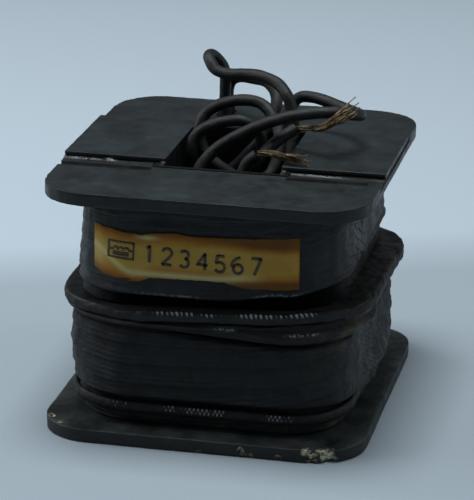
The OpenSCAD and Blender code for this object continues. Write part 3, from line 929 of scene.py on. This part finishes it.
def add_foot_cord(material):
    """A braided cord, pressed flat against the foot of the lower section."""
    low, high = box("lower_cord")
    thick = high.z - low.z
    outline, out, length = rounded_outline(high.x - low.x - thick, high.y - low.y - thick,
                                           FOOT_R + thick / 2, 2400)
    angle, along = cord_grid(outline, length, 24)
    x, y = outline.T
    # Painted highlights: places along the front where the braid's crossings stand out more and are painted
    # pale.
    rubbed_and_highlit = span(x, -9, -7, 4, 7) + span(x, 13, 14.5, 21, 24) + 0.45 * span(x, -22, -19, -12, -9)
    rubbed_and_highlit = rubbed_and_highlit * (y < 0) * (0.75 + 0.7 * outline_bumps(outline, 1.2, 54))
    seen = np.clip(0.2 + 0.35 * outline_bumps(outline, 9, 53) + rubbed_and_highlit, 0.08, 1)[:, None]
    facing = np.clip(np.cos(angle - 0.45), 0, 1) ** 2.5
    crossing = np.abs(np.sin(2 * angle + along * 3.3) * np.sin(2 * angle - along * 3.3)) ** 0.8
    braided = seen * facing * crossing
    r = thick / 2 * (0.86 + 0.05 * outline_bumps(outline, 16, 51)[:, None] + 0.12 * braided)
    centre_z = (low.z + high.z) / 2 + 0.5 + 0.5 * outline_bumps(outline, 24, 52)
    flattened, taller, drawn_in = 0.6, 1.05, 0.25
    points, faces = hoop(outline, out, flattened * r * np.cos(angle) - drawn_in,
                         centre_z[:, None] + taller * r * np.sin(angle))
    make_piece("lower_cord_braid", points, faces, material, ("lower_cord",),
               stored={"wear_and_highlight": (braided * seen).ravel()})


def label_point(x, z, lift):
    """A point on the upper section's front, lift millimetres in front of the tape."""
    half_flat = UPPER_SIZE.x / 2 - UPPER_R
    beyond = np.clip(np.abs(x) - half_flat, 0, UPPER_R * 0.98)
    angle = np.arcsin(beyond / UPPER_R)
    r = UPPER_R + lift
    px = np.sign(x) * (np.minimum(np.abs(x), half_flat) + r * np.sin(angle))
    py = -(UPPER_SIZE.y / 2 - UPPER_R) - r * np.cos(angle)
    return np.stack(np.broadcast_arrays(px, py, z), -1)


# The label's lower and upper edges, left to right: (across, height)
LABEL_LOW = ((-24.2, 38.0), (-21, 36.8), (-18, 36.3), (-13.8, 36.2), (-11.5, 37.3), (-6, 37.5), (0.6, 37.6),
             (4.7, 37.7), (8.9, 36.6), (16, 36.8), (21.1, 37.1))
LABEL_HIGH = ((-24.2, 48.2), (-19.1, 47.6), (-13.6, 46.9), (-10, 47.5), (-6.4, 47.8), (-1.6, 47.4),
              (5.7, 47.7), (10.9, 47.9), (21.1, 48.7))


def label_edge(x, z, t):
    """How brown the paper is: along its edges, at the upper right and at the lower right."""
    middle = 1 - np.abs(2 * t - 1) ** 1.6
    from_end = np.minimum(x - x.min(), x.max() - x)
    edge = 1 - np.clip(middle * 1.25, 0, 1) * ease(-0.8, 0.6, from_end)
    edge = edge + 0.5 * ease(-4, 14, x) * ease(44, 46.5, z)
    edge = edge + 0.4 * ease(-2, 8, x) * ease(39.5, 37.8, z)
    return np.clip(edge + 0.12 * ease(8, 14, x), 0, 1)


def label_glare(x, z):
    """Painted glare on the varnish over the paper: a sweep along the bottom and two spots at the left."""
    sweep = 38.2 + 5.5 * ease(-15, -25, x) + 0.8 * ease(0, 14, x)
    glare = bell(z, sweep, 0.75) * ease(16, 6, x)
    glare = glare + bell(z, 46.3, 0.5) * bell(x, -12, 2.2)
    return np.clip(glare + 0.5 * bell(z, 41.5, 2.5) * bell(x, -23, 1.6), 0, 1)


def add_label(material):
    columns, rows = 181, 45
    x = np.linspace(LABEL_LOW[0][0], LABEL_LOW[-1][0], columns)
    along = np.column_stack([x, 0 * x, 0 * x])
    low = np.interp(x, *zip(*LABEL_LOW)) + 0.16 * bumps(along, 1.6, 61)
    high = np.interp(x, *zip(*LABEL_HIGH)) + 0.16 * bumps(along, 1.6, 62)
    t = np.linspace(0, 1, rows)[:, None]
    z = low * (1 - t) + high * t
    x_grid = np.broadcast_to(x, z.shape)
    curl = 0.08 * bumps(np.stack([x_grid, 0 * z, z], -1).reshape(-1, 3), 8, 63).reshape(z.shape)
    front = label_point(x_grid, z, 0.22 + curl)
    back = label_point(x_grid, z, -0.1 + curl)
    count = rows * columns
    faces, _, _ = grid(rows, columns)
    ids = np.arange(count).reshape(rows, columns)
    around = np.concatenate([ids[0], ids[1:, -1], ids[-1, -2::-1], ids[-2:0:-1, 0]]).tolist()
    rim = [(b, a, a + count, b + count) for a, b in zip(around, around[1:] + around[:1])]
    points = np.concatenate([front.reshape(-1, 3), back.reshape(-1, 3)])
    make_piece("label_paper", points, faces.tolist() + (faces[:, ::-1] + count).tolist() + rim, material,
               ("label",),
               stored={"edge": np.tile(label_edge(x_grid, z, t).ravel(), 2),
                       "glare": np.tile(label_glare(x_grid, z).ravel(), 2)})


def arc(x, y, radius, start, end, steps=12):
    """Points of a pen stroke round a circle, between two angles in degrees."""
    angles = np.radians(np.linspace(start, end, steps))
    return [(x + radius * math.cos(a), y + radius * math.sin(a)) for a in angles]


# Plain stamped numerals, as pen strokes in a box 1 wide and 1.6 high
NUMERALS = {
    "1": [[(0.22, 1.32), (0.52, 1.6), (0.52, 0)]],
    "2": [arc(0.5, 1.14, 0.44, 165, -35) + [(0.05, 0), (0.97, 0)]],
    "3": [arc(0.46, 1.2, 0.39, 150, -80), arc(0.46, 0.42, 0.43, 82, -150)],
    "4": [[(0.74, 0), (0.74, 1.6), (0.02, 0.48), (1.0, 0.48)]],
    "5": [[(0.88, 1.6), (0.2, 1.6), (0.12, 0.88)] + arc(0.46, 0.5, 0.48, 125, -150)],
    "6": [arc(0.86, 0.62, 0.98, 100, 172) + arc(0.5, 0.46, 0.44, 160, 520, 20)],
    "7": [[(0.04, 1.6), (0.96, 1.6), (0.38, 0)]],
}
# A box with a row of coil turns over two core lines
COIL_SYMBOL = [[(-1.4, 0), (-0.9, 0)] + sum((arc(k - 0.6, 0, 0.3, 180, 0, 9) for k in (0, 0.6, 1.2)), [])
               + [(0.9, 0), (1.4, 0)],
               [(-0.9, -0.3), (0.9, -0.3)], [(-0.9, -0.55), (0.9, -0.55)],
               [(-1.5, 0.9), (1.5, 0.9)], [(-1.5, -0.9), (1.5, -0.9)],
               [(-1.4, 0.9), (-1.4, -0.9)], [(1.4, 0.9), (1.4, -0.9)]]


def ribbon(stroke, pen):
    """A flat pen stroke as left and right edges, with points close enough to follow the curved tape."""
    corners = np.array(stroke, float)
    along = travelled(corners)
    steps = np.unique(np.concatenate([along, np.arange(0, along[-1], 0.3)]))
    line = np.stack([np.interp(steps, along, corners[:, k]) for k in (0, 1)], -1)
    ahead = np.gradient(line, axis=0)
    ahead /= np.linalg.norm(ahead, axis=1)[:, None] + 1e-9
    side = np.stack([-ahead[:, 1], ahead[:, 0]], -1) * pen / 2
    return line + side, line - side


def add_ink(name, drawings, pen, material):
    """Printing on the label; drawings are (strokes, x, z, size, lean)."""
    ink_top, ink_foot = 0.34, 0.16
    points, faces = [], []
    for strokes, x, z, size, lean in drawings:
        for stroke in strokes:
            turned = np.array(stroke) @ np.array([[math.cos(lean), math.sin(lean)],
                                                  [-math.sin(lean), math.cos(lean)]])
            left, right = ribbon(turned * size + (x, z), pen)
            section = ((left, ink_top), (right, ink_top), (right, ink_foot), (left, ink_foot))
            loop = [label_point(edge[:, 0], edge[:, 1], lift) for edge, lift in section]
            start = sum(map(len, points))
            count = len(left)
            points.append(np.stack(loop, 1).reshape(-1, 3))
            quads, _, _ = grid(count, 4, close_columns=True)
            faces += (quads + start).tolist()
            faces += [[start + k for k in range(3, -1, -1)], [start + (count - 1) * 4 + k for k in range(4)]]
    make_piece(name, np.vstack(points), faces, material)


def add_printing(ink):
    digits = [(NUMERALS[digit], -12.7 + 3.9 * k, 40.9 - 0.25 * min(k, 4), 2.3, math.radians(-2))
              for k, digit in enumerate("1234567")]
    add_ink("label_numerals", digits, 0.64, ink)
    add_ink("label_coil_symbol", [(COIL_SYMBOL, -17.8, 43.1, 2.0, math.radians(-3))], 0.42, ink)


# ---- Everything ----

def paint(material, *nodes):
    """Gives CAD nodes that stay a material of their own."""
    for node in nodes:
        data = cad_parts[node].data
        data.materials.clear()
        data.materials.append(material)


def build():
    add_camera()
    insulation = lead_material()
    copper = strand_material()
    add_lead(1, LEAD_1_ROUTE, STRANDS_1_ROUTE, 3, 2.9, insulation, copper)
    add_lead(2, LEAD_2_ROUTE, STRANDS_2_ROUTE, 8, 1.5, insulation, copper)

    board = board_material("fibre_board", (0.0040, 0.0060, 0.0062), (0.0145, 0.0225, 0.024),
                           (0.95, 0.90, 0.66), 0.33)
    canvas = board_material("canvas_board", (0.005, 0.0056, 0.005), (0.018, 0.020, 0.017),
                            (0.16, 0.16, 0.13), 0.38)
    add_plain_board("top_flange_board", "top_flange", board, [], 1, groove_varnish)
    # A dustier, paler copy of the board material; part of its paleness is painted light, lifting the bottom
    # board's shaded top.
    dusty_and_lit = board_material("dusty_and_lit_board", (0.0060, 0.0080, 0.0080), (0.045, 0.056, 0.054),
                           (0.95, 0.90, 0.62), 0.38)
    add_plain_board("bottom_flange_board", "bottom_flange", dusty_and_lit,
                    [((24.5, -41, BOARD_T), 1.5), ((28.3, -40.3, BOARD_T * 0.8), 1.8),
                     ((26, -41.2, 1.3), 1.5), ((29.8, -39.8, 0.5), 2.3), ((10.2, -41, 1.6), 0.9),
                     ((12.3, -41, 0.5), 0.9), ((18.5, -41, 0.6), 0.8), ((-34, -34.5, BOARD_T), 1.0),
                     ((-31, -37.5, BOARD_T), 0.8), ((0.8, -41, 0.4), 0.6)], 2)
    for side in ("left", "right"):
        add_side_liner(side, board)

    add_middle_board(canvas)
    # Its pale colour paints the highlights on the binding's stitches.
    add_middle_binding(cord_material("edge_braid", (0.011, 0.0125, 0.0115), (0.60, 0.62, 0.60), 0.5))
    add_upper_tape(tape_material("upper_tape", (0.004, 0.005, 0.0055), (0.015, 0.0175, 0.0185), 0.55, 0.32))
    add_lower_tape(tape_material("lower_tape", (0.0035, 0.0042, 0.0045), (0.013, 0.0148, 0.0152), 0.6, 0.38,
                                 stain=(0.055, 0.048, 0.022)))
    # Its pale colour paints the highlights on the braid.
    add_foot_cord(cord_material("foot_cord", (0.0045, 0.0052, 0.0052), (0.55, 0.57, 0.56), 0.4))
    add_label(label_material())
    add_printing(ink_material())

    paint(plain_fibre_material("core_tube", (0.0015, 0.0015, 0.0014), (0.005, 0.0052, 0.005), 1.5),
          "core_tube")
    paint(plain_fibre_material("sleeving", (0.008, 0.0085, 0.007), (0.026, 0.026, 0.020), 0.5),
          "lead_sleeve_1", "lead_sleeve_2", "splice_1", "splice_2")
    paint(plain_fibre_material("insulating_paper", (0.28, 0.19, 0.09), (0.48, 0.34, 0.17), 2),
          "lower_inner_wrap", "lower_outer_wrap", "upper_inner_wrap", "upper_outer_wrap")
    paint(plain_fibre_material("copper_winding", (0.26, 0.10, 0.045), (0.52, 0.24, 0.11), 0.4),
          "lower_winding", "upper_winding", "crossover_lead")

    bpy.ops.mesh.primitive_plane_add(size=6)
    floor = bpy.context.object
    floor.name = "floor"
    floor.data.materials.append(floor_material())
    add_lights()


build()
